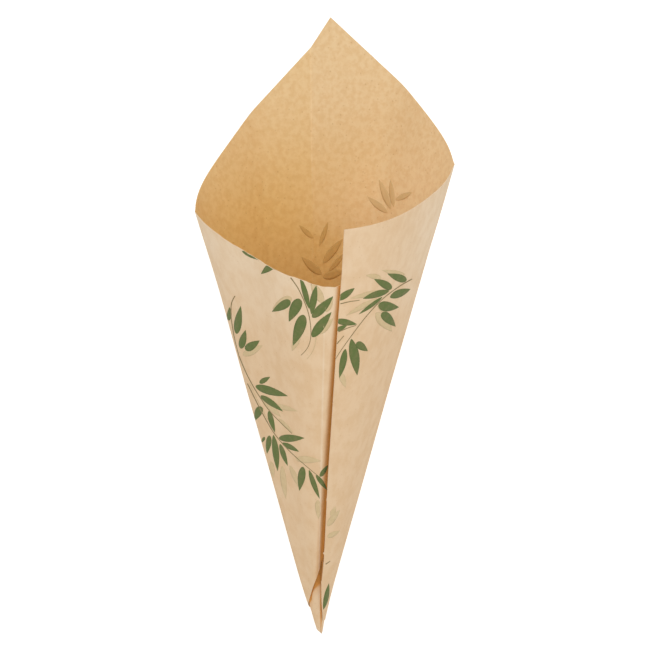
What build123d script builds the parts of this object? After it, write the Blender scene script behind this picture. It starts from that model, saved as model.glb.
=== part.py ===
from build123d import *

import math
import os

os.makedirs("parts", exist_ok=True)

# Paper cone bag: one sheet rolled into a cone and glued along the lap, lying on its back on the
# floor with the tip toward -Y and the mouth toward +Y. All sizes are in millimetres.

# The flat sheet. U runs along the free edge of the flap, away from the cone's apex, and V across.
MOUTH_EDGE = 196.0
SHEET_WIDTH = 171.8
PEAK_REACH = 174.3
PEAK_SHOULDER = 181.4
FLAP_FOOT = 10.1
NOTCH_DEPTH = 35.4

# The strip inside the cone's second turn: the foot of its lap edge, the far end of the tab's top
# edge, and the slightly slanted cut across the rolled tip.
LAP_FOOT = 15.6
TAB_TOP_END = 25.0
TIP_OPENING = 5.0
TIP_SLANT = 4.8

# Angles on the flat sheet, round the apex, in degrees from the flap's free edge.
NOTCH_ANGLE = 89.5
LAP_END_ANGLE = 101.0
TAB_END_ANGLE = 177.5

# The paper, and how far the second turn sinks below the first one.
PAPER = 0.2
LAP_GAP = 0.3
SINK_START = 85.2
SINK_END = 88.9

# How the sheet is bent, from the flap's free edge once round the cone: the width of each bend on
# the flat sheet and the half angle of the round cone it follows. 90 is flat, and more than 90
# bends outward. One of them is the flat strip that the cone rests on.
BENDS = (
    (9.35, 11.31),
    (3.0, 122.02),
    (21.13, 14.77),
    (3.89, 5.71),
    (7.27, 90.0),
    (20.17, 12.47),
    (5.02, 7.25),
    (10.96, 106.24),
    (8.24, 8.13),
)
REST_BEND = 4
REST_AZIMUTH = 5.48
TAB_HALF_ANGLE = 13.2

# The widest piece of a bend that one straight cut crosses, the share by which a face overruns its
# cuts before it is trimmed, and the steps across the strip that sinks.
WIDEST_PIECE = 8.0
OVERRUN = 0.1
SINK_STEPS = 4

APEX = Vector(0.0, 0.0, 0.0)
TURN = sum(width for width, half_angle in BENDS)


def bend_axis(frame, half_angle):
    """Axis of the round cone that the paper follows from this frame on."""
    along, inward = frame
    half = math.radians(half_angle)
    return Axis(APEX, along * math.cos(half) + inward * math.sin(half))


def bend_turn(half_angle, width):
    """Turn about that axis for a width on the flat sheet, in degrees."""
    return width / math.sin(math.radians(half_angle))


def bent(frame, half_angle, width):
    """The paper's frame, its direction from the apex and its inward normal, after a bend."""
    axis = bend_axis(frame, half_angle)
    turn = bend_turn(half_angle, width)
    return tuple(vector.rotate(axis, turn) for vector in frame)


def flap_frame():
    """Frame at the flap's free edge, once the rest strip lies flat on the floor."""
    azimuth = math.radians(REST_AZIMUTH)
    frame = (Vector(math.sin(azimuth), math.cos(azimuth), 0.0), Vector(0.0, 0.0, 1.0))
    for width, half_angle in reversed(BENDS[:REST_BEND]):
        frame = bent(frame, half_angle, -width)
    return frame


def all_bends():
    """Every bend of both turns as its start angle, half angle and frame at the start."""
    lap_rest = LAP_END_ANGLE - TURN - BENDS[0][0]
    tab_width = TAB_END_ANGLE - LAP_END_ANGLE
    second_turn = (BENDS[0], (lap_rest, BENDS[1][1]), (tab_width, TAB_HALF_ANGLE))
    bends = []
    angle, frame = 0.0, flap_frame()
    for width, half_angle in BENDS + second_turn:
        bends.append((angle, half_angle, frame))
        angle, frame = angle + width, bent(frame, half_angle, width)
    return bends


ALL_BENDS = all_bends()


def bend_at(angle):
    """The bend that holds this angle."""
    return [bend for bend in ALL_BENDS if bend[0] <= angle][-1]


def frame_at(angle):
    start, half_angle, frame = bend_at(angle)
    return bent(frame, half_angle, angle - start)


def sink(angle):
    """How far the sheet lies inside the cone's outer surface, so that one turn clears the next."""
    share = min(max((angle - SINK_START) / (SINK_END - SINK_START), 0.0), 1.0)
    return (PAPER + LAP_GAP) * share * share * (3.0 - 2.0 * share)


def paper_point(angle, reach, depth):
    """Point of the rolled sheet at an angle and a distance from the apex, depth into the paper."""
    along, inward = frame_at(angle)
    return along * reach + inward * (sink(angle) + depth)


def on_sheet(reach, angle):
    turn = math.radians(angle)
    return reach * math.cos(turn), reach * math.sin(turn)


def sheet_angle(point):
    return math.degrees(math.atan2(point[1], point[0]))


def straight(start, end):
    """Distance from the apex to the straight cut from start to end, as a function of the angle."""
    du, dv = end[0] - start[0], end[1] - start[1]

    def reach(angle):
        u, v = on_sheet(1.0, angle)
        return (start[0] * dv - start[1] * du) / (u * dv - v * du)

    return reach


def tip_cut(angle):
    """Distance from the apex to the worn, slightly slanted cut across the rolled tip."""
    along, inward = frame_at(angle)
    return TIP_OPENING - TIP_SLANT * along.X


MOUTH_CORNER = (MOUTH_EDGE, 0.0)
PEAK = (MOUTH_EDGE, PEAK_REACH)
SHOULDER = (PEAK_SHOULDER, SHEET_WIDTH)
LAP_TOP = (0.0, SHEET_WIDTH)
FOOT = (FLAP_FOOT, 0.0)
NOTCH = on_sheet(NOTCH_DEPTH, NOTCH_ANGLE)
LAP_CORNER = on_sheet(LAP_FOOT, LAP_END_ANGLE)
TAB_CORNER = on_sheet(TAB_TOP_END, TAB_END_ANGLE)

MOUTH_RIGHT = straight(MOUTH_CORNER, PEAK)
MOUTH_PEAK = straight(PEAK, SHOULDER)
MOUTH_LEFT = straight(SHOULDER, LAP_TOP)
NOTCH_CUT = straight(FOOT, NOTCH)
LAP_CUT = straight(NOTCH, LAP_CORNER)
TAB_CUT = straight(LAP_CORNER, TAB_CORNER)


def trimmed(face, cut, side):
    """The face on one side of a cut; its main piece where the cut also nicks a far corner."""
    pieces = face.split(cut, keep=side)
    return max(pieces, key=lambda piece: piece.area) if isinstance(pieces, list) else pieces


def bent_skin(start, end, lower, upper, depth):
    """One skin of a piece of a bend: part of a round cone, trimmed by the lower and upper cuts."""
    frame = frame_at(start)
    along, inward = frame
    half_angle = bend_at(start)[1]
    first = min(lower(start), lower(end)) * (1.0 - OVERRUN)
    last = max(upper(start), upper(end)) * (1.0 + OVERRUN)
    below = inward * (sink(start) + depth)
    line = Edge.make_line(along * first + below, along * last + below)
    turn = bend_turn(half_angle, end - start)
    face = Face.revolve(line, turn, bend_axis(frame, half_angle))
    middle_inward = frame_at((start + end) / 2.0)[1]
    for reach, side in ((lower, Keep.TOP), (upper, Keep.BOTTOM)):
        corner = paper_point(start, reach(start), depth)
        cut_line = paper_point(end, reach(end), depth) - corner
        face = trimmed(face, Plane(corner, cut_line, cut_line.cross(middle_inward)), side)
    return face


def sinking_skin(start, end, lower, upper, depth):
    """One skin of the strip that sinks below the flap."""
    angles = [start + (end - start) * step / SINK_STEPS for step in range(SINK_STEPS + 1)]
    rims = [
        Edge.make_spline([paper_point(angle, reach(angle), depth) for angle in angles])
        for reach in (lower, upper)
    ]
    return Face.make_surface_from_curves(rims[0], rims[1])


def rim(skin, side):
    """The cut edge of a skin: the one nearest to the apex, or the farthest from it."""
    by_distance = sorted(skin.edges(), key=lambda edge: edge.center().length)
    return by_distance[0] if side == "lower" else by_distance[-1]


def piece_faces(start, end, lower, upper, open_sides):
    """Both skins of one piece of the sheet, and the cut edges between them on its open sides."""
    sinks = SINK_START <= start and end <= SINK_END
    skin = sinking_skin if sinks else bent_skin
    outer, inner = [skin(start, end, lower, upper, depth) for depth in (0.0, PAPER)]
    cuts = [
        Face.make_surface_from_curves(rim(outer, side), rim(inner, side))
        for side in ("lower", "upper")
        if side in open_sides
    ]
    return [outer, inner] + cuts


def end_face(angle, lower, upper):
    """The cut edge of the sheet along a straight line of the cone."""
    corners = ((lower, 0.0), (upper, 0.0), (upper, PAPER), (lower, PAPER))
    points = [paper_point(angle, reach(angle), depth) for reach, depth in corners]
    return Face(Wire.make_polygon(points))


def band(start, end, lower, upper, open_sides):
    """Faces of the sheet between two angles and two cuts, piece by piece."""
    marks = [bend[0] for bend in ALL_BENDS] + [SINK_START, SINK_END]
    stops = sorted([start, end] + [mark for mark in marks if start < mark < end])
    faces = []
    for low, high in zip(stops, stops[1:]):
        sinks = SINK_START <= low and high <= SINK_END
        count = 1 if sinks else math.ceil((high - low) / WIDEST_PIECE)
        width = (high - low) / count
        for index in range(count):
            first = low + index * width
            faces += piece_faces(first, first + width, lower, upper, open_sides)
    for side, angle in (("start", start), ("end", end)):
        if side in open_sides:
            faces.append(end_face(angle, lower, upper))
    return faces


def rolled_sheet():
    """The whole sheet as one closed solid, apex at the origin."""
    peak_angle, shoulder_angle = sheet_angle(PEAK), sheet_angle(SHOULDER)
    rims = ("lower", "upper")
    faces = band(0.0, peak_angle, NOTCH_CUT, MOUTH_RIGHT, rims + ("start",))
    faces += band(peak_angle, shoulder_angle, NOTCH_CUT, MOUTH_PEAK, rims)
    faces += band(shoulder_angle, NOTCH_ANGLE, NOTCH_CUT, MOUTH_LEFT, rims)
    faces += band(NOTCH_ANGLE, LAP_END_ANGLE, LAP_CUT, MOUTH_LEFT, ("upper", "end"))
    faces += band(NOTCH_ANGLE, LAP_END_ANGLE, tip_cut, LAP_CUT, ("lower", "start"))
    faces += band(LAP_END_ANGLE, TAB_END_ANGLE, tip_cut, TAB_CUT, rims + ("end",))
    return Solid(Shell(faces))


sheet = rolled_sheet()
middle = sheet.bounding_box().center()

with BuildPart() as paper_cone:
    add(sheet.moved(Location((-middle.X, -middle.Y, 0.0))), clean=False)

paper_cone.part.label = "paper_cone"
export_step(paper_cone.part, "parts/paper_cone.step")
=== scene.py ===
"""Paper cone bag: one kraft sheet rolled into a cone, lying on its back, with printed leaf sprigs.

The sheet is modelled flat, in millimetres: U runs along the free edge of the flap, away from the
apex of the cone, and V across. Every point of it is then rolled round the cone without stretching,
so the paper, its cut edges, its creases and its print all follow from the same flat sheet.
"""

import logging
import math
from dataclasses import dataclass, field
from enum import Enum
from functools import cached_property

import bpy
import numpy as np
from mathutils import Matrix


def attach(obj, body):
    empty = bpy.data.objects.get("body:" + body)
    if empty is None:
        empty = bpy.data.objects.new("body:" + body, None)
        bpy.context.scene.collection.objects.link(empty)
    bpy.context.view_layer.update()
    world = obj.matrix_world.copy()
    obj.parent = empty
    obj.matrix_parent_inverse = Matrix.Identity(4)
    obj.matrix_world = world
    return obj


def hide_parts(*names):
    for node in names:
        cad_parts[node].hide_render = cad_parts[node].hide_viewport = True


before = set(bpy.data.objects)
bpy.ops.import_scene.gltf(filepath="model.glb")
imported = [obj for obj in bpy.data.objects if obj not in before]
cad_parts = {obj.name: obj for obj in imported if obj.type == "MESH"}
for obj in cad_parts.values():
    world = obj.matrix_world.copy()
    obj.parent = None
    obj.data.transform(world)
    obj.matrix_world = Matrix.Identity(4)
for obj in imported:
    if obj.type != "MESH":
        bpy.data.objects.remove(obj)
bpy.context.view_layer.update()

LOG = logging.getLogger("paper_cone")
MM = 0.001
WELD_DECIMALS = 4
ANGLE_MARGIN = 1e-4
SHARE_DECIMALS = 6
ANGLE_DECIMALS = 5
PHOTO_SIDE = 650


class Skin(Enum):
    """Which of the sheet's surfaces a face belongs to, as its material's place on the piece."""

    OUTSIDE = 0
    INSIDE = 1
    CUT = 2


class Side(Enum):
    """Where on the bag a printed shape is seen: the lowest and highest sheet angle in sight."""

    LEFT_PANEL = (58.0, 93.0)
    FLAP = (0.0, 27.0)
    INSIDE = (12.0, 76.0)


def smooth_step(share: np.ndarray) -> np.ndarray:
    """Rises smoothly from 0 to 1: three times the square less twice the cube.

    Args:
        share: Values, held between 0 and 1 first.

    Returns:
        The smoothed values.
    """
    held = np.clip(share, 0.0, 1.0)
    return held * held * (3.0 - 2.0 * held)


@dataclass(frozen=True)
class Rise:
    """A value that goes smoothly from one level to another over a stretch of its measure."""

    start: float
    length: float
    low: float = 0.0
    high: float = 1.0

    def at(self, measure: np.ndarray) -> np.ndarray:
        """The value at each measure: its low level, and a smooth step times the difference."""
        return self.low + (self.high - self.low) * smooth_step((measure - self.start) / self.length)


def unit(vectors: np.ndarray) -> np.ndarray:
    """Vectors divided by their own lengths.

    Args:
        vectors: Array whose last axis is X, Y, Z.

    Returns:
        Array of the same shape.
    """
    return vectors / np.linalg.norm(vectors, axis=-1, keepdims=True)


def on_sheet(reach: float | np.ndarray, angles: float | np.ndarray) -> np.ndarray:
    """Points of the flat sheet at distances from the apex and sheet angles in degrees."""
    turn = np.radians(angles)
    return np.asarray(reach)[..., None] * np.stack([np.cos(turn), np.sin(turn)], axis=-1)


def polar_of(flat: np.ndarray) -> tuple:
    """Distance from the apex, and sheet angle from -90 to 270 degrees, of points of the sheet."""
    angles = np.degrees(np.arctan2(flat[..., 1], flat[..., 0]))
    return np.hypot(flat[..., 0], flat[..., 1]), np.where(angles < -90.0, angles + 360.0, angles)


def looked_up(at: float | np.ndarray, angles: np.ndarray, vectors: np.ndarray) -> np.ndarray:
    """Vectors of a table at other angles than its own, by straight lines between its rows."""
    return np.stack([np.interp(at, angles, vectors[:, i]) for i in range(3)], axis=-1)


@dataclass(frozen=True)
class PhotoCamera:
    """The photograph's viewpoint, as the apex of the cone is seen from it.

    The camera looks nearly straight down. Its pitch and roll are in degrees, and the apex is
    given by its pixel, with the size of a pixel at the apex.
    """

    apex: tuple = (-0.609, -132.997, 0.0)
    apex_pixel: tuple = (317.285, 641.613)
    pixel_size: float = 0.4225
    focal_pixels: float = 1500.0
    pitch: float = 1.9197
    roll: float = 0.6687
    sensor: float = 36.0
    clip_start: float = 0.01
    clip_end: float = 10.0

    def axes(self) -> tuple:
        """Turns the three directions of a level camera by its pitch, then by its roll.

        Returns:
            Unit vectors to the picture's right, down and into it.
        """
        pitch, roll = math.radians(self.pitch), math.radians(self.roll)
        level_right = np.array([1.0, 0.0, 0.0])
        level_down = np.array([0.0, -math.cos(pitch), math.sin(pitch)])
        forward = np.array([0.0, -math.sin(pitch), -math.cos(pitch)])
        right = math.cos(roll) * level_right - math.sin(roll) * level_down
        down = math.sin(roll) * level_right + math.cos(roll) * level_down
        return right, down, forward

    def position(self) -> np.ndarray:
        """Goes back from the apex, by its pixel and the focal length.

        Returns:
            Where the camera stands, in millimetres.
        """
        right, down, forward = self.axes()
        middle = PHOTO_SIDE / 2.0
        offset = (
            (self.apex_pixel[0] - middle) * right
            + (self.apex_pixel[1] - middle) * down
            + self.focal_pixels * forward
        )
        return np.array(self.apex) - self.pixel_size * offset

    def pixels(self, points: np.ndarray) -> np.ndarray:
        """Perspective projection: offsets over depth, times the focal length.

        Args:
            points: Array of points in millimetres, X, Y, Z last.

        Returns:
            Array of pixels, across and down.
        """
        right, down, forward = self.axes()
        ray = points - self.position()
        depth = ray @ forward
        middle = PHOTO_SIDE / 2.0
        across = middle + self.focal_pixels * (ray @ right) / depth
        below = middle + self.focal_pixels * (ray @ down) / depth
        return np.stack([across, below], axis=-1)

    def build(self) -> bpy.types.Object:
        """Makes the scene's camera.

        Returns:
            The camera object, set as the scene's own.
        """
        data = bpy.data.cameras.new("photo_camera")
        data.sensor_width = self.sensor
        data.lens = self.focal_pixels / PHOTO_SIDE * self.sensor
        data.clip_start = self.clip_start
        data.clip_end = self.clip_end
        camera = bpy.data.objects.new("photo_camera", data)
        bpy.context.scene.collection.objects.link(camera)
        right, down, forward = self.axes()
        turn = Matrix((right, -down, -forward)).transposed()
        camera.matrix_world = Matrix.Translation(self.position() * MM) @ turn.to_4x4()
        bpy.context.scene.camera = camera
        return camera


@dataclass(frozen=True)
class Roll:
    """How the flat sheet is bent: the cone's section at unit distance, and the pose it rests in.

    The section's radius is a mean times one plus cosines and sines of whole numbers of turns. Its
    underside is pressed flat where the bag rests. The innermost tab curls on a round cone.
    """

    apex: tuple = (-0.609, -132.997, 0.0)
    mean_radius: float = 0.2573
    orders: tuple = (2.0, 3.0, 4.0)
    cosines: tuple = (-0.0536, -0.0336, 0.0546)
    sines: tuple = (-0.0272, 0.0062, 0.0055)
    rest_depth: float = 0.2228
    rest_blend: float = 0.025
    flap_edge_at: float = -81.5
    turn: float = 89.03
    table_turns: float = 1.2
    table_step: float = 0.05
    tab_start: float = 101.0
    tab_half_angle: float = 14.4
    sink_reaches: tuple = (5.0, 10.0, 20.0, 40.0, 80.0, 130.0, 186.0)
    sink_depths: tuple = (0.15, 0.35, 1.1, 2.0, 1.9, 1.5, 0.8)
    sink_widths: tuple = (0.7, 1.3, 2.6, 3.4, 3.2, 2.7, 2.0)
    sink_window: tuple = (-20.0, 90.0)
    inset_reaches: tuple = (12.0, 22.0, 31.0, 45.0, 75.0, 122.0, 150.0, 178.0, 196.0)
    insets: tuple = (1.2, 0.5, 0.1, 0.55, 0.15, -0.55, -0.15, 0.3, 0.1)
    wave_height: float = 0.1
    wave_full_at: float = 120.0
    slow_wave: tuple = (3.0, 31.0, 23.0, 1.1)
    quick_wave: tuple = (5.0, 17.0, 0.7, 0.45)
    tip_lean: float = 1.3
    tip_pinch: float = 0.3
    tip_reach: float = 17.0
    back_crease: float = 43.5
    front_crease: float = 87.2
    crease_width: float = 0.35
    crease_height: float = 0.08
    side_folds: tuple = (20.8, 64.6)
    fold_width: float = 3.0
    fold_height: float = 0.9
    fold_grows: Rise = Rise(150.0, 50.0)
    find_rounds: int = 40
    find_share: float = 0.8
    find_longest: tuple = (2.0, 12.0)
    find_nudge: float = 0.01

    def section(self, phi: np.ndarray) -> np.ndarray:
        """Directions round the section, laid down so that its flat underside is on the floor.

        Args:
            phi: Angles round the cone from its right, in radians.

        Returns:
            Unit vectors from the apex.
        """
        turns = phi[:, None] * np.array(self.orders)
        wobble = (np.cos(turns) * self.cosines + np.sin(turns) * self.sines).sum(axis=1)
        radius = self.mean_radius * (1.0 + wobble)
        across, depth = radius * np.cos(phi), radius * np.sin(phi)
        past = depth - (self.rest_depth - self.rest_blend)
        eased = depth - past * past / (4.0 * self.rest_blend)
        depth = np.where(past > 0.0, eased, depth)
        depth = np.where(past > 2.0 * self.rest_blend, self.rest_depth, depth)
        tilt = math.atan(self.rest_depth)
        ahead = math.cos(tilt) + depth * math.sin(tilt)
        up = math.sin(tilt) - depth * math.cos(tilt)
        return unit(np.stack([across, ahead, up], axis=1))

    @cached_property
    def table(self) -> tuple:
        """The section against the angle that the flat sheet has turned through.

        Returns:
            Sheet angles in degrees, directions from the apex, and inward normals.
        """
        start = math.radians(self.flap_edge_at)
        stop = start + 2.0 * math.pi * self.table_turns
        phi = np.arange(start, stop, math.radians(self.table_step))
        along = self.section(phi)
        steps = np.linalg.norm(np.diff(along, axis=0), axis=1)
        angles = np.degrees(np.concatenate([[0.0], np.cumsum(steps)]))
        inward = unit(np.cross(along, np.gradient(along, axis=0)))
        return angles, along, inward

    def frames(self, angles: np.ndarray) -> tuple:
        """Direction from the apex and inward normal at sheet angles.

        The section is looked up in its table. Past the tab's start both vectors turn about the
        axis of a round cone, by the Rodrigues formula.

        Args:
            angles: Sheet angles in degrees.

        Returns:
            Two arrays of unit vectors.
        """
        table_angles, *table_vectors = self.table
        held = np.minimum(angles, self.tab_start)
        along, inward = (unit(looked_up(held, table_angles, vectors)) for vectors in table_vectors)
        last_along, last_inward = (
            looked_up(self.tab_start, table_angles, vectors) for vectors in table_vectors
        )
        half = math.radians(self.tab_half_angle)
        axis = unit(math.cos(half) * last_along + math.sin(half) * last_inward)
        turn = np.radians(np.maximum(angles - self.tab_start, 0.0)) / math.sin(half)
        return tuple(
            vectors * np.cos(turn)[..., None]
            + np.cross(axis, vectors) * np.sin(turn)[..., None]
            + axis * (vectors @ axis)[..., None] * (1.0 - np.cos(turn))[..., None]
            for vectors in (along, inward)
        )

    def sink(self, angles: np.ndarray, reach: np.ndarray) -> np.ndarray:
        """How far the sheet dips inward as it runs under the flap's free edge.

        A smooth step, whose depth and width change along the flap, centred before its edge.

        Args:
            angles: Sheet angles in degrees.
            reach: Distances from the apex.

        Returns:
            Depths in millimetres.
        """
        depth = np.interp(reach, self.sink_reaches, self.sink_depths)
        width = np.interp(reach, self.sink_reaches, self.sink_widths)
        edge = reach * np.sin(np.radians(np.clip(self.turn - angles, *self.sink_window)))
        return depth * smooth_step((width - edge) / width)

    def wave(self, angles: np.ndarray, reach: np.ndarray) -> np.ndarray:
        """Slight unevenness of the rolled paper: two waves that close round the cone.

        The slow one is a sine of its turns and of the reach over a length, times a cosine of the
        reach over another. The quick one is a lower sine of the same kind.

        Args:
            angles: Sheet angles in degrees.
            reach: Distances from the apex.

        Returns:
            Heights in millimetres.
        """
        round_cone = 2.0 * math.pi * angles / self.turn
        turns, length, second_length, shift = self.slow_wave
        slow = np.sin(turns * round_cone + reach / length) * np.cos(reach / second_length + shift)
        turns, length, shift, share = self.quick_wave
        quick = np.sin(turns * round_cone - reach / length + shift) * share
        return self.wave_height * np.clip(reach / self.wave_full_at, 0.0, 1.0) * (slow + quick)

    def place(self, flat: np.ndarray, depth: np.ndarray) -> np.ndarray:
        """Rolls points of the flat sheet: reach times direction, plus depth along the normal.

        The worn tip leans to the right and its outer turn is pinched, by a bell of the distance
        from the apex.

        Args:
            flat: Points of the sheet, U and V last, in millimetres.
            depth: Depth of each point below the cone's outside.

        Returns:
            Points in millimetres in the frame of the part.
        """
        reach, angles = polar_of(flat)
        along, inward = self.frames(angles)
        raised = self.crease_height * self.crease(angles, reach) + self.side_fold(angles, reach)
        below = depth + self.sink(angles, reach) + self.wave(angles, reach) - raised
        points = np.array(self.apex) + along * reach[..., None] + inward * below[..., None]
        pinch = np.where(angles > self.tab_start, 0.0, self.tip_pinch * inward[..., 0])
        lean = (self.tip_lean + pinch) * np.exp(-((reach / self.tip_reach) ** 2))
        return points + lean[..., None] * np.array([1.0, 0.0, 0.0])

    def crease(self, angles: np.ndarray, reach: np.ndarray) -> np.ndarray:
        """How strongly the sheet is creased: a narrow bell across each of two straight folds.

        Args:
            angles: Sheet angles in degrees.
            reach: Distances from the apex.

        Returns:
            Values from 0 to 1.
        """
        folds = [
            np.exp(-((reach * np.radians(angles - fold) / self.crease_width) ** 2))
            for fold in (self.back_crease, self.front_crease)
        ]
        return folds[0] + folds[1]

    def side_fold(self, angles: np.ndarray, reach: np.ndarray) -> np.ndarray:
        """Sharp folds at both sides of the mouth, where the bag was once pressed flat.

        The height falls off from each fold as an exponential, and grows toward the mouth.

        Args:
            angles: Sheet angles in degrees.
            reach: Distances from the apex.

        Returns:
            Heights above the smooth cone in millimetres.
        """
        falls = [
            np.exp(-np.abs(reach * np.radians(angles - fold)) / self.fold_width)
            for fold in self.side_folds
        ]
        return self.fold_height * self.fold_grows.at(reach) * (falls[0] + falls[1])

    def seen(self, polar: np.ndarray, camera: PhotoCamera, depth: float) -> np.ndarray:
        """Pixels at which points of the sheet are seen.

        Args:
            polar: Sheet angle and distance from the apex of each point.
            camera: The camera.
            depth: Depth below the outside of the paper.

        Returns:
            Array of pixels, across and down.
        """
        flat = on_sheet(polar[:, 1], polar[:, 0])
        return camera.pixels(self.place(flat, np.full(len(flat), depth)))

    def find(self, pixels: np.ndarray, side: Side, camera: PhotoCamera, depth: float) -> np.ndarray:
        """Points of the flat sheet that are seen at pixels, by damped Newton steps.

        Args:
            pixels: Pixels, across and down, along the first axis.
            side: Which part of the bag is looked at.
            camera: The camera.
            depth: Depth below the outside of the paper.

        Returns:
            Points of the sheet in millimetres.
        """
        lowest, highest = side.value
        start = np.full(len(pixels), (lowest + highest) / 2.0)
        down = camera.apex_pixel[1] - pixels[:, 1]
        polar = np.stack([start, down * camera.pixel_size], axis=1)
        nudges = self.find_nudge * np.eye(2)
        longest = np.array(self.find_longest)
        for _ in range(self.find_rounds):
            here = self.seen(polar, camera, depth)
            moved = [self.seen(polar + nudge, camera, depth) for nudge in nudges]
            slopes = np.stack([there - here for there in moved], axis=2)
            steps = np.linalg.solve(slopes / self.find_nudge, (pixels - here)[..., None])[..., 0]
            polar = polar + np.clip(self.find_share * steps, -longest, longest)
            polar[:, 0] = np.clip(polar[:, 0], lowest, highest)
        return on_sheet(polar[:, 1], polar[:, 0])


def line_reach(angles: np.ndarray, start: np.ndarray, end: np.ndarray) -> np.ndarray:
    """Distance from the apex to a straight cut, where a ray at each sheet angle meets it.

    Args:
        angles: Sheet angles in degrees.
        start: One point of the cut.
        end: Another point of it.

    Returns:
        The distances.
    """
    du, dv = end - start
    turn = np.radians(angles)
    return (start[0] * dv - start[1] * du) / (np.cos(turn) * dv - np.sin(turn) * du)


def grid_quads(columns: int, rows: int) -> np.ndarray:
    """Quads of a grid whose first index runs across the sheet and whose second runs along it.

    Args:
        columns: Number of columns.
        rows: Number of rows.

    Returns:
        Indices of four corners a quad, turning from U toward V.
    """
    index = np.arange(columns * rows).reshape(columns, rows)
    corners = (index[:-1, :-1], index[:-1, 1:], index[1:, 1:], index[1:, :-1])
    return np.stack([corner.ravel() for corner in corners], axis=1)


@dataclass
class FlatMesh:
    """Grids of the flat sheet welded to one mesh, ready to be given two skins and cut edges."""

    points: list = field(default_factory=list)
    quads: list = field(default_factory=list)
    count: int = 0

    def add(self, grid: np.ndarray) -> None:
        """Adds a grid of points, columns by rows by two.

        Args:
            grid: The points of the flat sheet.
        """
        columns, rows = grid.shape[:2]
        self.points.append(grid.reshape(-1, 2))
        self.quads.append(grid_quads(columns, rows) + self.count)
        self.count += columns * rows

    def welded(self) -> tuple:
        """Points that coincide made one, by rounding to a ten-thousandth of a millimetre.

        Returns:
            The points and the quads.
        """
        points = np.concatenate(self.points)
        quads = np.concatenate(self.quads)
        keys = np.round(points, WELD_DECIMALS) + 0.0
        _, first, inverse = np.unique(keys, axis=0, return_index=True, return_inverse=True)
        return points[first], inverse.ravel()[quads]

    def shell(self, roll: Roll, outer: np.ndarray, inner: np.ndarray) -> tuple:
        """Closes the flat mesh to a thin shell: two skins, and walls along its open edges.

        A quad's own order faces into the cone, so the outer skin takes it turned round. An edge
        that only one quad has is open, and gets a wall.

        Args:
            roll: How the sheet is bent.
            outer: Depth of the outer skin at each welded point.
            inner: Depth of the inner skin at each welded point.

        Returns:
            Points in metres, quads, and the skin that each quad belongs to.
        """
        points, quads = self.welded()
        count = len(points)
        rolled = np.concatenate([roll.place(points, outer), roll.place(points, inner)]) * MM
        edges = np.concatenate([quads[:, pair] for pair in ([0, 1], [1, 2], [2, 3], [3, 0])])
        key = np.sort(edges, axis=1)
        _, first, uses = np.unique(key, axis=0, return_index=True, return_counts=True)
        rim = edges[first[uses == 1]]
        walls = np.stack([rim[:, 1] + count, rim[:, 0] + count, rim[:, 0], rim[:, 1]], axis=1)
        faces = np.concatenate([quads[:, ::-1], quads + count, walls])
        skins = np.repeat([skin.value for skin in Skin], [len(quads), len(quads), len(walls)])
        return rolled, faces, skins


def make_piece(
    name: str, points: np.ndarray, faces: np.ndarray, skins: np.ndarray, finishes: tuple
) -> bpy.types.Object:
    """Puts points and quads into a new object at the origin: smooth skins, and flat cut edges.

    Args:
        name: Name of the piece.
        points: Points in metres.
        faces: Indices of each quad's corners.
        skins: The skin that each quad belongs to.
        finishes: One finish for each skin, or one for them all.

    Returns:
        The object, which rides on the one body of the bag.
    """
    mesh = bpy.data.meshes.new(name)
    mesh.vertices.add(len(points))
    mesh.vertices.foreach_set("co", points.astype(np.float32).ravel())
    mesh.loops.add(faces.size)
    mesh.loops.foreach_set("vertex_index", faces.astype(np.int32).ravel())
    mesh.polygons.add(len(faces))
    mesh.polygons.foreach_set("loop_start", np.arange(0, faces.size, 4, dtype=np.int32))
    slots = np.minimum(skins, len(finishes) - 1).astype(np.int32)
    mesh.polygons.foreach_set("material_index", slots)
    mesh.polygons.foreach_set("use_smooth", skins != Skin.CUT.value)
    for finish in finishes:
        mesh.materials.append(finish.build())
    mesh.update(calc_edges=True)
    mesh.validate()
    piece = bpy.data.objects.new(name, mesh)
    bpy.context.scene.collection.objects.link(piece)
    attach(piece, "root")
    return piece


def add_number(piece: bpy.types.Object, name: str, values: np.ndarray) -> None:
    """Stores one number a point on a piece, for its materials to read.

    Args:
        piece: The piece.
        name: Name of the attribute.
        values: One value a point.
    """
    layer = piece.data.attributes.new(name, "FLOAT", "POINT")
    layer.data.foreach_set("value", values.astype(np.float32))


def linear(code: str) -> tuple:
    """Turns an sRGB hex colour to the linear values that Blender's sockets take.

    Args:
        code: Colour such as "#E2C4A2".

    Returns:
        Linear red, green, blue and 1.
    """
    values = [int(code[i : i + 2], 16) / 255.0 for i in (1, 3, 5)]
    curve = [v / 12.92 if v <= 0.04045 else ((v + 0.055) / 1.055) ** 2.4 for v in values]
    return (*curve, 1.0)


def add_node(tree: bpy.types.NodeTree, kind: str, settings: dict, inputs: dict) -> bpy.types.Node:
    """Adds a node with its settings, and sets or links its inputs.

    Args:
        tree: The node tree.
        kind: Blender's name for the node.
        settings: The node's own properties by name.
        inputs: Values, or output sockets to link, by input name or number.

    Returns:
        The node.
    """
    node = tree.nodes.new(kind)
    for name, value in settings.items():
        setattr(node, name, value)
    for name, value in inputs.items():
        socket = node.inputs[name]
        if isinstance(value, bpy.types.NodeSocket):
            tree.links.new(value, socket)
        else:
            socket.default_value = value
    return node


PAPER_IOR = 1.45
PAPER_SHEEN = 0.25


def per_metre(millimetres: float) -> float:
    """Texture scale whose pattern repeats at about this real size on Object coordinates."""
    return 1.0 / (millimetres * MM)


def start_material(name: str) -> tuple:
    """Starts a material with an empty node tree.

    Args:
        name: Name of the material.

    Returns:
        The material and its tree.
    """
    material = bpy.data.materials.new(name)
    material.use_nodes = True
    material.node_tree.nodes.clear()
    return material, material.node_tree


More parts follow.
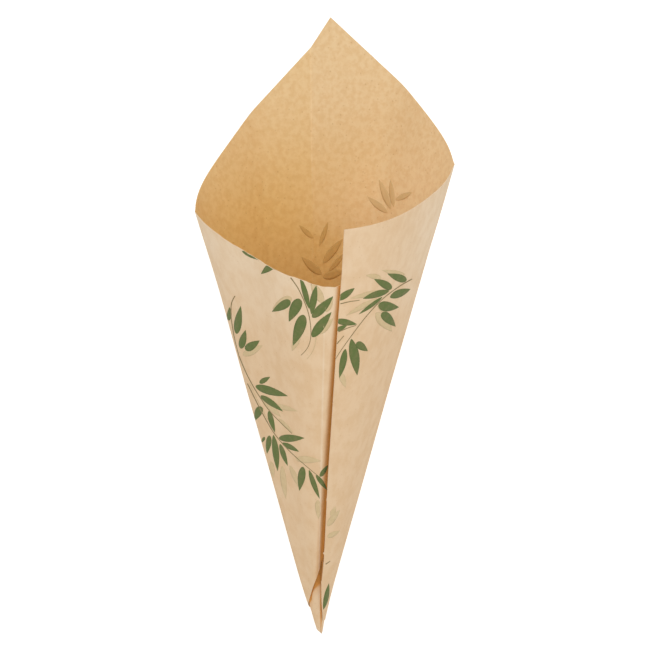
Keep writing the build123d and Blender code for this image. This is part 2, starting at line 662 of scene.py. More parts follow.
def lay_over(
    tree: bpy.types.NodeTree,
    under: object,
    over: str,
    pattern: bpy.types.NodeSocket,
    levels: tuple,
    share: float,
    blend: str = "MIX",
) -> bpy.types.NodeSocket:
    """Lays a colour over another where a pattern passes from one level to another.

    Args:
        tree: The node tree.
        under: The lower colour or its socket.
        over: The upper colour, in sRGB hex.
        pattern: The pattern.
        levels: The pattern's value at which the layer starts, and at which it is full.
        share: How strong the full layer is.
        blend: How it is laid over: Blender's name for the blend.

    Returns:
        The mixed colour.
    """
    stretch = {"Value": pattern, "From Min": levels[0], "From Max": levels[1], "To Max": share}
    mask = add_node(tree, "ShaderNodeMapRange", {"interpolation_type": "SMOOTHSTEP"}, stretch)
    settings = {"data_type": "RGBA", "blend_type": blend}
    inputs = {0: mask.outputs["Result"], 6: under, 7: linear(over)}
    return add_node(tree, "ShaderNodeMix", settings, inputs).outputs[2]


def finish_matt(
    tree: bpy.types.NodeTree,
    colour: bpy.types.NodeSocket,
    roughness: float,
    pattern: bpy.types.NodeSocket,
    relief: tuple,
) -> None:
    """Ends a material with the matt surface that paper and its inks share, in slight relief.

    Args:
        tree: The node tree.
        colour: The colour.
        roughness: The roughness.
        pattern: The pattern that the relief follows.
        relief: Its strength, and its height in millimetres.
    """
    strength, height = relief
    raised = {"Strength": strength, "Distance": height * MM, "Height": pattern}
    bump = add_node(tree, "ShaderNodeBump", {}, raised)
    look = {"Base Color": colour, "Roughness": roughness, "Normal": bump.outputs["Normal"]}
    look |= {"IOR": PAPER_IOR, "Specular IOR Level": PAPER_SHEEN}
    surface = add_node(tree, "ShaderNodeBsdfPrincipled", {}, look)
    add_node(tree, "ShaderNodeOutputMaterial", {}, {"Surface": surface.outputs["BSDF"]})


@dataclass(frozen=True)
class Layer:
    """One part of the paper's grain: its colour, how strong it is, and its size in millimetres."""

    colour: str
    share: float
    size: float


@dataclass(frozen=True)
class KraftPaper:
    """Kraft paper, machine made and uncoated: a matt, warm brown web of long softwood fibres.

    To the eye it is a calm mid-brown with cloudy formation a few millimetres across, hair-fine
    paler and darker fibres, and a few dark specks of bark. The smooth printed side is paler than
    the rough side inside the bag. The fibres are drawn about a millimetre apart, so that they show.
    """

    name: str
    base: str
    # warm is the colour of painted shade and painted glow; pale that of paler creases and painted
    # light.
    warm: str
    pale: str
    clouds: Layer
    fibres: Layer
    specks: Layer
    cloud_levels: tuple = (0.36, 0.66)
    fibre_levels: tuple = (0.5, 0.72)
    speck_levels: tuple = (0.16, 0.05)
    cloud_detail: float = 5.0
    cloud_sharpness: float = 0.62
    fibre_detail: float = 3.0
    fibre_sharpness: float = 0.7
    fibre_curl: float = 1.4
    drawn_out: float = 0.5
    roughness: float = 0.82
    relief: tuple = (0.5, 0.03)

    def build(self) -> bpy.types.Material:
        """Mixes painted glow, shade and light into the base colour, then layers clouds, fibres and
        specks over it, drawn out along the bag.

        Returns:
            The material.
        """
        material, tree = start_material(self.name)
        place = add_node(tree, "ShaderNodeTexCoord", {}, {}).outputs["Object"]
        stretch = {"Vector": place, "Scale": (1.0, self.drawn_out, 1.0)}
        along = add_node(tree, "ShaderNodeMapping", {}, stretch).outputs["Vector"]
        colour = linear(self.base)
        # Painted glow and shade by one attribute, paler creases and painted light by the other.
        for measure, tint in (("painted_glow_and_shade", self.warm), ("crease_paleness_and_painted_light", self.pale)):
            share = add_node(tree, "ShaderNodeAttribute", {"attribute_name": measure}, {})
            inputs = {0: share.outputs["Fac"], 6: colour, 7: linear(tint)}
            colour = add_node(tree, "ShaderNodeMix", {"data_type": "RGBA"}, inputs).outputs[2]
        grain = {"Vector": along, "Scale": per_metre(self.clouds.size)}
        grain |= {"Detail": self.cloud_detail, "Roughness": self.cloud_sharpness}
        cloud = add_node(tree, "ShaderNodeTexNoise", {}, grain).outputs["Fac"]
        grain = {"Vector": along, "Scale": per_metre(self.fibres.size)}
        grain |= {"Detail": self.fibre_detail, "Roughness": self.fibre_sharpness}
        grain["Distortion"] = self.fibre_curl
        web = add_node(tree, "ShaderNodeTexNoise", {}, grain).outputs["Fac"]
        grain = {"Vector": place, "Scale": per_metre(self.specks.size), "Randomness": 1.0}
        bark = add_node(tree, "ShaderNodeTexVoronoi", {"feature": "F1"}, grain).outputs["Distance"]
        for layer, pattern, levels, blend in (
            (self.clouds, cloud, self.cloud_levels, "MULTIPLY"),
            (self.fibres, web, self.fibre_levels, "SCREEN"),
            (self.specks, bark, self.speck_levels, "MULTIPLY"),
        ):
            colour = lay_over(tree, colour, layer.colour, pattern, levels, layer.share, blend)
        finish_matt(tree, colour, self.roughness, web, self.relief)
        return material


@dataclass(frozen=True)
class PrintedInk:
    """Water-based ink, flexo printed on the kraft: matt and a little uneven, so the fibres show."""

    name: str
    ink: str
    worn: str
    patch_size: float = 2.2
    patch_levels: tuple = (0.4, 0.75)
    patch_share: float = 0.8
    patch_detail: float = 4.0
    patch_sharpness: float = 0.7
    grain_size: float = 0.5
    grain_detail: float = 2.0
    roughness: float = 0.75
    relief: tuple = (0.3, 0.02)

    def build(self) -> bpy.types.Material:
        """Ink with slightly thinner patches, where the paper shows through.

        Returns:
            The material.
        """
        material, tree = start_material(self.name)
        place = add_node(tree, "ShaderNodeTexCoord", {}, {}).outputs["Object"]
        patches = {"Vector": place, "Scale": per_metre(self.patch_size)}
        patches |= {"Detail": self.patch_detail, "Roughness": self.patch_sharpness}
        patch = add_node(tree, "ShaderNodeTexNoise", {}, patches).outputs["Fac"]
        colour = lay_over(
            tree, linear(self.ink), self.worn, patch, self.patch_levels, self.patch_share
        )
        fine = {"Vector": place, "Scale": per_metre(self.grain_size)}
        fine["Detail"] = self.grain_detail
        grain = add_node(tree, "ShaderNodeTexNoise", {}, fine).outputs["Fac"]
        finish_matt(tree, colour, self.roughness, grain, self.relief)
        return material


@dataclass(frozen=True)
class PaperTone:
    """Painted light and shade, and paler creases, that shift the paper from its base colour.

    Each part changes with the sheet angle, in degrees, or with the distance from the apex, in
    millimetres. Warm is painted shade under the flap, on the tongue and past the back crease,
    and painted glow deep in the cone for light that comes through the paper. Pale is paler
    creases, and painted light toward the mouth outside and where the inside is lit.
    """

    # Painted shade, as warm brown: under the flap's edge, and on the tab's tongue before and past
    # its fold.
    painted_shade_near_flap: Rise = Rise(91.0, 5.0, 1.0, 0.0)
    tongue_shade_to_fold: float = 0.3
    warm_fold_length: float = 5.0
    tongue_shade_past_fold: float = 0.7
    fold_margin: float = 0.2
    # Painted glow deep in the cone, for light that comes through the paper, and painted shade past
    # the back crease.
    painted_glow_deep: Rise = Rise(160.0, 75.0, 1.0, 0.0)
    painted_glow_by_angle: Rise = Rise(24.0, 20.0, 0.2, 1.0)
    behind_crease: Rise = Rise(-0.3, 0.6)
    painted_shade_behind_crease: Rise = Rise(50.0, 15.0, 0.18, 0.0)
    # Paler creases, and painted light toward the mouth outside.
    pale_crease_outside: float = 0.4
    pale_crease_inside: Rise = Rise(175.0, 40.0, 0.1, 0.4)
    painted_light_toward_mouth: Rise = Rise(130.0, 60.0)
    painted_light_by_angle: Rise = Rise(6.0, 10.0, 0.13, 0.5)
    # Painted light inside, on the flap's side of the mouth and by the open tip.
    lit_length: float = 22.0
    lit_start: float = 18.0
    lit_wider_from: Rise = Rise(160.0, 20.0, 0.0, 10.0)
    lit_wider_to: Rise = Rise(185.0, 35.0, 1.0, 0.0)
    lit_share: Rise = Rise(190.0, 35.0, 0.85, 0.65)
    lit_tip: Rise = Rise(42.0, 16.0, 0.95, 0.0)

    def lit(self, angles: np.ndarray, reach: np.ndarray) -> np.ndarray:
        """How well lit the inside is: on the flap's side of the mouth, and by the open tip.

        Args:
            angles: Sheet angles in degrees.
            reach: Distances from the apex.

        Returns:
            Values from 0 to 1.
        """
        start = self.lit_start + self.lit_wider_from.at(reach) * self.lit_wider_to.at(reach)
        beside = self.lit_share.at(reach) * Rise(0.0, self.lit_length, 1.0, 0.0).at(angles - start)
        return np.maximum(beside, self.lit_tip.at(reach))


@dataclass(frozen=True)
class SheetGrid:
    """How finely the sheet is divided: columns across it, in sheet degrees, and rows along it."""

    flap_shares: tuple = (0.0, 0.01, 0.03, 0.06)
    flap_columns: int = 15
    flap_shares_from: float = 0.1
    column: float = 0.8
    fine_from: float = 84.0
    fine_column: float = 0.2
    beside_crease: tuple = (-0.6, -0.3, -0.15, -0.08, -0.04, 0.0, 0.04, 0.08, 0.15, 0.3, 0.6)
    beside_side_fold: float = 2.0
    lap_columns: int = 12
    tab_columns: int = 32
    tongue_columns: int = 30
    tip_rows: int = 24
    even_rows: int = 104
    end_rows: tuple = (0.002, 0.005, 0.992, 0.996, 0.9985)
    beside_nib: tuple = (-1.6, -0.8, 0.0, 0.8, 1.6)


@dataclass
class RolledSheet:
    """The bag's one sheet: a rectangle with a tall corner at the back, a slanted cut toward the tip
    and a tab that curls up inside the tip."""

    roll: Roll
    camera: PhotoCamera
    tone: PaperTone = PaperTone()
    grid: SheetGrid = SheetGrid()
    mouth_edge: float = 196.0
    sheet_width: float = 171.8
    peak_reach: float = 174.3
    peak_shoulder: float = 181.4
    flap_foot: float = 11.2
    notch_depth: float = 43.4
    notch_angle: float = 89.5
    lap_foot: float = 15.6
    lap_end_angle: float = 101.0
    tab_end_angle: float = 184.0
    tab_fold_angles: tuple = (101.0, 135.0, 150.0, 155.0, 163.5, 167.3, 169.5, 172.0, 177.0, 184.0)
    tab_fold_reaches: tuple = (15.6, 14.5, 16.5, 17.5, 19.4, 21.1, 24.0, 26.3, 28.3, 30.0)
    tongue_angles: tuple = (146.0, 155.0, 163.5, 168.0, 172.0, 184.0)
    tongue_reaches: tuple = (20.0, 24.0, 28.5, 40.0, 46.0, 47.0)
    tongue_dip: float = 0.5
    tongue_step: float = 1.2
    tongue_bend: Rise = Rise(158.0, 9.0)
    tip_opening: float = 5.0
    tip_slant: float = 4.8
    paper: float = 0.15
    flap_blend_angle: float = 12.0
    nib_rows: tuple = (361.0, 400.0, 439.0, 499.0, 553.0, 582.0)
    edge_rows: tuple = (229.7, 329.2, 438.7, 582.0)
    edge_columns: tuple = (344.1, 337.8, 329.6, 321.6)
    nib_height: float = 0.55
    nib_width: float = 0.45
    corner_drop: float = 1.1
    corner_power: int = 4
    rim_bulges: tuple = ((68.5, 3.0, 1.2), (83.5, 1.6, 0.5), (87.4, 1.8, -0.6))
    rim_ripples: tuple = (3.1, 1.3, 0.8)
    rim_wear: Rise = Rise(60.0, 6.0, 0.0, 0.16)

    def nibs(self) -> np.ndarray:
        """Finds the small torn nibs on the flap's edge from their pixels in the photograph.

        Returns:
            Distances along the edge.
        """
        below = np.array(self.nib_rows)
        across = np.interp(below, self.edge_rows, self.edge_columns)
        found = self.roll.find(np.stack([across, below], axis=1), Side.FLAP, self.camera, 0.0)
        return found[:, 0]

    def flap_edge(self, along: np.ndarray, nibs: np.ndarray) -> np.ndarray:
        """The flap's free edge: a nearly straight cut, with a small bell at each nib.

        Args:
            along: Distances along the edge.
            nibs: Where the nibs are.

        Returns:
            Points of the sheet.
        """
        bells = np.exp(-(((along[:, None] - nibs) / self.nib_width) ** 2)).sum(axis=1)
        inset = np.interp(along, self.roll.inset_reaches, self.roll.insets)
        return np.stack([along, inset - self.nib_height * bells], axis=1)

    def rows(self, nibs: np.ndarray, foot: float) -> np.ndarray:
        """Shares along the sheet's straight lines: even, and closer at the ends and the nibs.

        Args:
            nibs: Where the nibs are.
            foot: Where the flap's edge starts.

        Returns:
            Rising shares from 0 to 1.
        """
        even = np.linspace(0.0, 1.0, self.grid.even_rows)
        beside = (nibs[:, None] + self.nib_width * np.array(self.grid.beside_nib)).ravel()
        near = (beside - foot) / (self.mouth_edge - foot)
        return np.unique(np.round(np.concatenate([even, self.grid.end_rows, near]), SHARE_DECIMALS))

    @staticmethod
    def polar_grid(
        angles: np.ndarray, low: np.ndarray, high: np.ndarray, rows: np.ndarray
    ) -> np.ndarray:
        """Grid along straight lines through the apex, from one cut to another.

        Args:
            angles: Sheet angle of each column.
            low: Distance from the apex at which each column starts.
            high: Distance at which it ends.
            rows: Shares of the way between.

        Returns:
            Points, columns by rows by two.
        """
        reach = low[:, None] + (high - low)[:, None] * rows[None, :]
        return on_sheet(reach, angles[:, None])

    def rim(self, angles: np.ndarray) -> np.ndarray:
        """How far the mouth's edge strays from a straight cut: soft bells, and a product of sines.

        Args:
            angles: Sheet angles in degrees.

        Returns:
            Lengths in millimetres, none at the flap and the peak.
        """
        bulges = sum(
            size * np.exp(-(((angles - at) / width) ** 2)) for at, width, size in self.rim_bulges
        )
        quick, slow, shift = self.rim_ripples
        wear = self.rim_wear.at(angles)
        return bulges + wear * np.sin(quick * angles) * np.sin(slow * angles + shift)

    def tip_cut(self, angles: np.ndarray) -> np.ndarray:
        """The worn cut across the rolled tip, nearer the apex on the right."""
        return self.tip_opening - self.tip_slant * self.roll.frames(angles)[0][..., 0]

    def columns(self, peak_at: float, shoulder_at: float) -> np.ndarray:
        """Sheet angles across the body: even, and closer at the creases, folds and flap.

        Args:
            peak_at: Sheet angle of the peak.
            shoulder_at: Sheet angle of its shoulder.

        Returns:
            Rising angles in degrees.
        """
        fine = np.array(self.grid.beside_crease)
        folds = np.array(self.roll.side_folds)[:, None] + self.grid.beside_side_fold * fine
        parts = (
            np.arange(self.flap_blend_angle, self.grid.fine_from, self.grid.column),
            self.roll.back_crease + fine,
            self.roll.front_crease + fine,
            folds.ravel(),
            np.arange(self.grid.fine_from, self.notch_angle, self.grid.fine_column),
            [peak_at, shoulder_at, self.notch_angle],
        )
        return np.unique(np.round(np.concatenate(parts), ANGLE_DECIMALS))

    def flap_grid(self, edge: np.ndarray, inner: np.ndarray, rows: np.ndarray) -> np.ndarray:
        """The strip by the flap's edge, ruled from the edge to the first straight line.

        The corner at the mouth drops a little: a power of the way to the edge, times the row.

        Args:
            edge: Points of the flap's edge.
            inner: Points of the line.
            rows: Shares along both.

        Returns:
            Points, columns by rows by two.
        """
        even = np.linspace(self.grid.flap_shares_from, 1.0, self.grid.flap_columns)
        shares = np.concatenate([self.grid.flap_shares, even])[:, None, None]
        ruled = edge[None] * (1.0 - shares) + inner[None] * shares
        ruled[..., 0] -= self.corner_drop * (1.0 - shares[..., 0]) ** self.corner_power * rows
        return ruled

    def flat_mesh(self) -> FlatMesh:
        """Divides the whole sheet: flap, body, lap strip, and the tab inside the tip.

        Returns:
            The welded grids.
        """
        corner = np.array([self.mouth_edge, 0.0])
        peak = np.array([self.mouth_edge, self.peak_reach])
        shoulder = np.array([self.peak_shoulder, self.sheet_width])
        lap_top = np.array([0.0, self.sheet_width])
        foot = np.array([self.flap_foot, 0.0])
        notch = on_sheet(self.notch_depth, self.notch_angle)
        lap_corner = on_sheet(self.lap_foot, self.lap_end_angle)
        edge_foot = foot + (notch - foot) * (self.roll.insets[0] / notch[1])
        nibs = self.nibs()
        rows = self.rows(nibs, edge_foot[0])
        mesh = FlatMesh()

        first = np.array([self.flap_blend_angle])
        edge = self.flap_edge(edge_foot[0] + (self.mouth_edge - edge_foot[0]) * rows, nibs)
        low, high = line_reach(first, foot, notch), line_reach(first, corner, peak)
        mesh.add(self.flap_grid(edge, self.polar_grid(first, low, high, rows)[0], rows))

        peak_at, shoulder_at = polar_of(peak)[1], polar_of(shoulder)[1]
        angles = self.columns(peak_at, shoulder_at)
        past_shoulder = np.where(
            angles <= shoulder_at + ANGLE_MARGIN,
            line_reach(angles, peak, shoulder),
            line_reach(angles, shoulder, lap_top),
        )
        before_peak = angles <= peak_at + ANGLE_MARGIN
        low = line_reach(angles, foot, notch)
        high = np.where(before_peak, line_reach(angles, corner, peak), past_shoulder)
        mesh.add(self.polar_grid(angles, low, high + self.rim(angles), rows))

        lap = np.linspace(self.notch_angle, self.lap_end_angle, self.grid.lap_columns)
        lap_low = line_reach(lap, notch, lap_corner)
        lap_high = line_reach(lap, shoulder, lap_top) + self.rim(lap)
        mesh.add(self.polar_grid(lap, lap_low, lap_high, rows))

        short = np.linspace(0.0, 1.0, self.grid.tip_rows)
        mesh.add(self.polar_grid(lap, self.tip_cut(lap), lap_low, short))
        tongue = np.linspace(self.tongue_angles[0], self.tab_end_angle, self.grid.tongue_columns)
        before = np.linspace(self.lap_end_angle, self.tongue_angles[0], self.grid.tab_columns)
        tab = np.concatenate([before[:-1], tongue])
        mesh.add(self.polar_grid(tab, self.tip_cut(tab), self.tab_fold(tab), short))
        tongue_top = np.interp(tongue, self.tongue_angles, self.tongue_reaches)
        mesh.add(self.polar_grid(tongue, self.tab_fold(tongue), tongue_top, short))
        return mesh

    def tab_fold(self, angles: np.ndarray) -> np.ndarray:
        """Distance from the apex to the soft fold across the tab, above which its tongue begins."""
        return np.interp(angles, self.tab_fold_angles, self.tab_fold_reaches)

    def on_tongue(self, flat: np.ndarray, ahead: float, step: float) -> np.ndarray:
        """How far points are past the tab's fold: a smooth step from 0 to 1, and 0 off the tab.

        Args:
            flat: Points of the flat sheet.
            ahead: How far before the fold the step starts, in millimetres.
            step: Its length.

        Returns:
            Values from 0 to 1.
        """
        reach, angles = polar_of(flat)
        past = smooth_step((reach - self.tab_fold(angles) + ahead) / step)
        return np.where(angles > self.lap_end_angle + ANGLE_MARGIN, past, 0.0)

    def painted_glow_and_shade(self, flat: np.ndarray) -> tuple:
        """Painted warm shade and glow: under the flap, on the tongue, deep inside, by the crease.

        Args:
            flat: Points of the flat sheet.

        Returns:
            Values from 0 to 1 for the outer skin and for the inner one.
        """
        tone = self.tone
        reach, angles = polar_of(flat)
        # Painted shade in the dip where the sheet runs under the flap's edge.
        deepest = np.interp(reach, self.roll.sink_reaches, self.roll.sink_depths)
        dip = self.roll.sink(angles, reach) / deepest * tone.painted_shade_near_flap.at(angles)
        # Painted shade on the tab's tongue, which lies sunk in the tip.
        ahead = tone.warm_fold_length
        shaded = tone.tongue_shade_to_fold * self.on_tongue(flat, ahead, ahead)
        shaded += tone.tongue_shade_past_fold * self.on_tongue(flat, tone.fold_margin, self.tongue_step)
        # Painted glow deep in the cone, standing in for light that comes through the paper,
        # stronger to the left.
        deep = tone.painted_glow_deep.at(reach) * tone.painted_glow_by_angle.at(angles)
        # Painted shade just past the back crease, on the side turned away from the light.
        turned_away = tone.behind_crease.at(angles - self.roll.back_crease)
        turned_away = turned_away * tone.painted_shade_behind_crease.at(angles)
        return np.maximum(dip, shaded), np.clip(deep + turned_away, 0.0, 1.0)

    def crease_paleness_and_painted_light(self, flat: np.ndarray, warm_outside: np.ndarray) -> tuple:
        """Paler creases, and painted light toward the mouth outside and where the inside is lit.

        Args:
            flat: Points of the flat sheet.
            warm_outside: The outer skin's painted warm shade, where no painted light is laid.

        Returns:
            Values from 0 to 1 for the outer skin and for the inner one.
        """
        tone = self.tone
        reach, angles = polar_of(flat)
        crease = self.roll.crease(angles, reach)
        # Painted light on the outside toward the mouth, more away from the flap's edge.
        top = tone.painted_light_by_angle.at(angles) * tone.painted_light_toward_mouth.at(reach) * (1.0 - warm_outside)
        inner_crease = tone.pale_crease_inside.at(reach) * crease
        outside = np.maximum(tone.pale_crease_outside * crease, top)
        # Painted light inside, on the flap's side of the mouth and by the open tip.
        return outside, np.maximum(inner_crease, tone.lit(angles, reach))

    def build(self) -> bpy.types.Object:
        """Makes the rolled sheet and dresses it.

        Returns:
            The piece, which stands for the bag's CAD solid.
        """
        mesh = self.flat_mesh()
        flat, _ = mesh.welded()
        bent_in = self.tongue_bend.at(polar_of(flat)[1])
        outer = self.tongue_dip * self.on_tongue(flat, 0.0, self.tongue_step) * bent_in
        points, faces, skins = mesh.shell(self.roll, outer, outer + self.paper)
        finishes = (PRINTED_SIDE, ROUGH_SIDE, CUT_EDGE)
        piece = make_piece("paper_sheet", points, faces, skins, finishes)
        # Painted glow and shade, and paler creases with painted light, one value a point.
        painted_glow_and_shade = self.painted_glow_and_shade(flat)
        add_number(piece, "crease_paleness_and_painted_light", np.concatenate(self.crease_paleness_and_painted_light(flat, painted_glow_and_shade[0])))
        add_number(piece, "painted_glow_and_shade", np.concatenate(painted_glow_and_shade))
        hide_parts("paper_cone")
        return piece


@dataclass(frozen=True)
class Leaves:
    """A group of printed leaves, in photo pixels.

    Each is its base, its tip and its greatest width, and how pointed the base is: 0.5 round, 1
    as pointed as the tip.
    """

    name: str
    side: Side
    shapes: tuple
    bow: float = 0.01


@dataclass(frozen=True)
class Stems:
    """A group of printed stems, each a thin ribbon through a few points, in photo pixels."""

    name: str
    side: Side
    lines: tuple
    half_width: float = 0.42


@dataclass
class SprigPrint:
    """Leaf sprigs printed on the sheet, a common ornament: films of ink that lie on the paper.

    Each shape is drawn as the camera sees it and laid back on the flat sheet point by point, and
    what runs past the sheet's cut edges is held at them.
    """

    sheet: RolledSheet
    lift: float
    film: float = 0.02
    margin: float = 0.12
    leaf_rows: int = 17
    leaf_columns: int = 5
    leaf_row_power: float = 1.5
    leaf_blunt: float = 0.02
    stem_rows: int = 48
    stem_rounding: int = 12
    stem_taper: tuple = (1.15, 0.65)

    def leaf_grids(self, leaves: Leaves) -> np.ndarray:
        """Leaf outlines, widest before the middle and pointed at the tip.

        The width is a power of the way along, given by the base, times the rest of the way. Each
        leaf bows a little to one side and the next to the other, by a sine.

        Args:
            leaves: The group.

        Returns:
            Grids of pixels, leaves by columns by rows by two.
        """
        shapes = np.array(leaves.shapes, dtype=float)
        base, axis, width = shapes[:, :2], shapes[:, 2:4] - shapes[:, :2], shapes[:, 4]
        side = unit(np.stack([-axis[:, 1], axis[:, 0]], axis=1))
        way = np.linspace(0.0, 1.0, self.leaf_rows) ** self.leaf_row_power
        across = np.linspace(-0.5, 0.5, self.leaf_columns)
        power = shapes[:, 5:6]
        peak = power**power / (1.0 + power) ** (1.0 + power)
        profile = self.leaf_blunt + way[None] ** power * (1.0 - way[None]) / peak
        turn = np.where(np.arange(len(shapes)) % 2, leaves.bow, -leaves.bow)
        bend = (turn * np.linalg.norm(axis, axis=1))[:, None] * np.sin(math.pi * way)
        offset = width[:, None, None] * across[None, :, None] * profile[:, None, :]
        offset = offset + bend[:, None, :]
        return (
            base[:, None, None, :]
            + axis[:, None, None, :] * way[None, None, :, None]
            + side[:, None, None, :] * offset[..., None]
        )

    def stem_grid(self, line: tuple, stems: Stems) -> np.ndarray:
        """A stem's ribbon: its points joined, corners rounded by averaging, and a width across.

        Args:
            line: The stem's points.
            stems: The group that it belongs to.

        Returns:
            Grid of pixels, columns by rows by two.
        """
        points = np.array(line, dtype=float)
        marks = np.concatenate([[0.0], np.cumsum(np.linalg.norm(np.diff(points, axis=0), axis=1))])
        way = np.linspace(0.0, marks[-1], self.stem_rows)
        path = np.stack([np.interp(way, marks, points[:, i]) for i in range(2)], axis=1)
        for _ in range(self.stem_rounding):
            path[1:-1] = (path[:-2] + path[1:-1] + path[2:]) / 3.0
        heading = unit(np.gradient(path, axis=0))
        side = np.stack([-heading[:, 1], heading[:, 0]], axis=1)
        taper = stems.half_width * np.linspace(*self.stem_taper, self.stem_rows)
        across = np.array([-1.0, 0.0, 1.0])
        return path[None] + side[None] * (across[:, None] * taper[None])[..., None]

    def laid_back(self, grids: np.ndarray, side: Side) -> np.ndarray:
        """Lays grids of pixels on the flat sheet, inside its cut edges.

        Args:
            grids: The pixels.
            side: Which part of the bag they are seen on.

        Returns:
            Grids of the flat sheet, of the same shape.
        """
        sheet = self.sheet
        flat = sheet.roll.find(grids.reshape(-1, 2), side, sheet.camera, 0.0)
        flat[:, 0] = np.minimum(flat[:, 0], sheet.mouth_edge - self.margin)
        if side is not Side.INSIDE:
            inset = np.interp(flat[:, 0], sheet.roll.inset_reaches, sheet.roll.insets)
            _, angles = polar_of(flat)
            outer = sheet.sheet_width + sheet.rim(angles) * np.sin(np.radians(angles))
            flat[:, 1] = np.clip(flat[:, 1], inset + self.margin, outer - self.margin)
        return flat.reshape(grids.shape)

    def build(self, group: Leaves | Stems, finish: PrintedInk) -> bpy.types.Object:
        """Makes one group of printed shapes.

        Args:
            group: The leaves or stems.
            finish: Their ink.

        Returns:
            The piece.
        """
        mesh = FlatMesh()
        if isinstance(group, Leaves):
            drawn = self.leaf_grids(group)
        else:
            drawn = np.stack([self.stem_grid(line, group) for line in group.lines])
        for grid in self.laid_back(drawn, group.side):
            turned = np.cross(grid[-1, 0] - grid[0, 0], grid[0, -1] - grid[0, 0]) > 0.0
            mesh.add(grid[::-1] if turned else grid)
        flat, _ = mesh.welded()
        depth = np.full(len(flat), self.lift)
        points, faces, skins = mesh.shell(self.sheet.roll, depth, depth + self.film)
        return make_piece(group.name, points, faces, skins, (finish,))


# On each paper below, warm is the colour of painted shade and glow, and pale that of paler creases
# and painted light.
PRINTED_SIDE = KraftPaper(
    name="kraft_paper_machine_glazed_side",
    base="#E7C8A2",
    warm="#D6954A",
    pale="#F4E2C8",
    clouds=Layer("#F7F1E8", 0.8, 4.5),
    fibres=Layer("#40382C", 0.25, 1.1),
    specks=Layer("#CDB79A", 0.2, 2.6),
)
ROUGH_SIDE = KraftPaper(
    name="kraft_paper_rough_side",
    base="#EBCB9C",
    warm="#E8C07A",
    pale="#FCDCAC",
    clouds=Layer("#F0E2CE", 0.5, 2.5),
    fibres=Layer("#50422E", 0.6, 1.1),
    specks=Layer("#C29C70", 0.3, 2.6),
    drawn_out=0.9,
    relief=(0.5, 0.05),
)
CUT_EDGE = KraftPaper(
    name="kraft_paper_cut_edge",
    base="#EBD6B8",
    warm="#E2BE8C",
    pale="#F0DCBE",
    clouds=Layer("#F4E8D8", 0.6, 2.0),
    fibres=Layer("#40382C", 0.3, 1.1),
    specks=Layer("#B99468", 0.0, 2.6),
)
LEAF_INK = PrintedInk(name="leaf_ink_flexo_printed", ink="#667440", worn="#7E7A4F")
STEM_INK = PrintedInk(name="stem_ink_flexo_printed", ink="#8F7D56", worn="#A38F68")
PALE_INK = PrintedInk(name="pale_leaf_ink_flexo_printed", ink="#D3BA8E", worn="#DDC49A")
SHOW_THROUGH = PrintedInk(name="print_showing_through_kraft", ink="#DFBC86", worn="#E5C18C")
# The same show-through print, darker and warmer by painted shade and glow deep in the cone.
SHOW_THROUGH_IN_PAINTED_SHADE = PrintedInk(
    name="print_showing_through_kraft_in_painted_shade", ink="#D0A662", worn="#DAAE68"
)

CENTRE_LEAVES = Leaves(
    "leaves_centre",
    Side.LEFT_PANEL,
    (
        (290.3, 300.8, 272.0, 311.6, 8.5, 0.5),
        (299.8, 299.0, 289.0, 321.6, 10.5, 0.5),
        (303.7, 314.9, 293.2, 345.4, 11.0, 0.55),
        (309.4, 309.0, 300.0, 276.0, 5.4, 0.9),
        (311.4, 314.3, 316.4, 285.1, 6.8, 0.9),
        (312.3, 317.4, 333.2, 296.3, 8.8, 0.6),
        (312.2, 336.9, 331.4, 312.1, 9.2, 0.6),
    ),
)
LEFT_LEAVES = Leaves(
    "leaves_left",
    Side.LEFT_PANEL,
    (
        (242.0, 251.0, 259.5, 259.8, 4.5, 0.8),
        (275.5, 263.0, 261.0, 274.0, 7.0, 0.6),
        (236.6, 333.8, 240.8, 306.0, 7.5, 0.6),
        (228.8, 320.5, 229.5, 307.0, 4.5, 0.6),
        (241.0, 348.6, 245.6, 330.0, 7.0, 0.6),
        (245.4, 349.6, 259.6, 340.6, 8.0, 0.5),
        (259.6, 383.0, 270.0, 377.0, 5.0, 0.6),
        (255.6, 386.0, 287.7, 396.0, 8.0, 0.6),
        (260.7, 395.7, 283.0, 411.4, 5.8, 0.6),
        (268.8, 411.0, 275.0, 432.4, 5.2, 0.6),
        (269.5, 435.5, 267.0, 453.6, 5.4, 0.6),
        (261.0, 406.5, 255.0, 420.5, 7.5, 0.5),
        (264.6, 437.0, 261.8, 442.5, 2.8, 0.6),
    ),
)
LOW_LEAVES = Leaves(
    "leaves_low",
    Side.LEFT_PANEL,
    (
        (273.4, 435.0, 277.7, 471.0, 6.4, 0.8),
        (279.0, 438.0, 304.4, 438.0, 7.2, 0.6),
        (282.0, 443.0, 299.0, 451.6, 4.8, 0.7),
        (280.0, 444.0, 287.7, 465.7, 5.0, 0.7),
        (302.8, 466.8, 299.4, 490.6, 7.4, 0.6),
        (309.0, 470.0, 319.6, 498.6, 5.0, 0.8),
        (316.0, 475.0, 327.0, 490.0, 4.4, 0.7),
        (320.0, 476.6, 328.0, 465.0, 4.5, 0.6),
    ),
)
